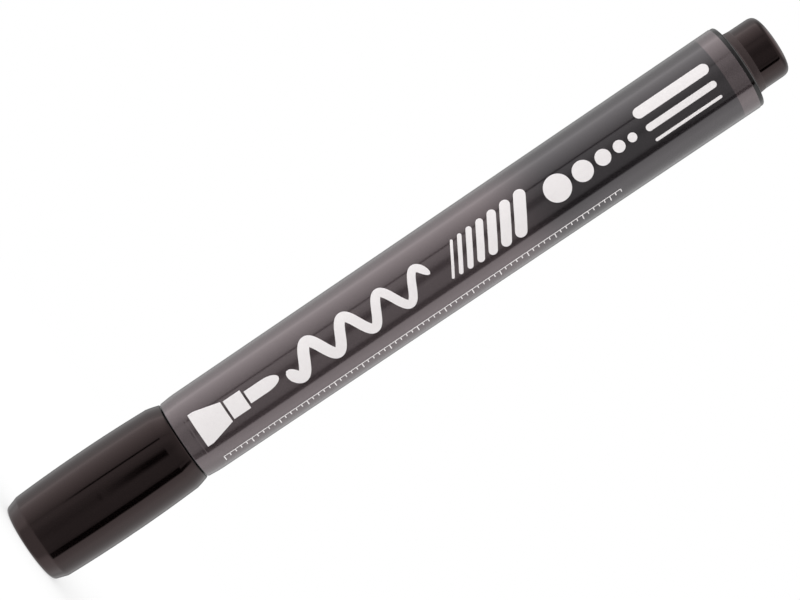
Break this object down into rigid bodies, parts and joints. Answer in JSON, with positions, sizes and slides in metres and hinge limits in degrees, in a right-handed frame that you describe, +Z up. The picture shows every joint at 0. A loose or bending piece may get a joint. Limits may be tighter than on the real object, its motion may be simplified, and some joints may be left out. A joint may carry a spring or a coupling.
{
  "type": "permanent marker",
  "caption": "Round-bodied permanent marker with a pull-off cap, bullet fibre nib, ink reservoir and stepped tail plug.",
  "frame": {"origin": "centre of the cap's flat closed end, on the surface that the marker stands on", "axes": "+Z up along the marker's axis, from the cap towards the tail plug; X and Y are equal, and the printed front faces -Y"},
  "size_m": [0.0148, 0.0148, 0.136],
  "materials": {
    "gloss_black": "moulded polypropylene, glossy black",
    "liner": "natural polyethylene, slightly waxy",
    "barrel_black": "moulded polypropylene, satin black",
    "label_film": "metallic mauve-grey printed film under a clear coat, fading to near black",
    "nib_fibre": "bonded polyester fibre, stained with black ink",
    "reservoir_fibre": "polyester fibre, soaked with black ink",
    "reservoir_film": "thin translucent polypropylene film"
  },
  "bodies": {
    "cap": {"cap_shell": "gloss_black", "cap_liner": "liner"},
    "marker": {"barrel": "barrel_black", "label_film": "label_film", "nib_holder": "barrel_black", "nib": "nib_fibre", "reservoir_core": "reservoir_fibre", "reservoir_wrap": "reservoir_film", "tail_plug": "gloss_black"}
  },
  "joints": [
    {"name": "cap_pull", "type": "slide", "parent": "cap", "child": "marker", "axis": [0, 0, 1], "range_m": [0, 0.04]}
  ]
}
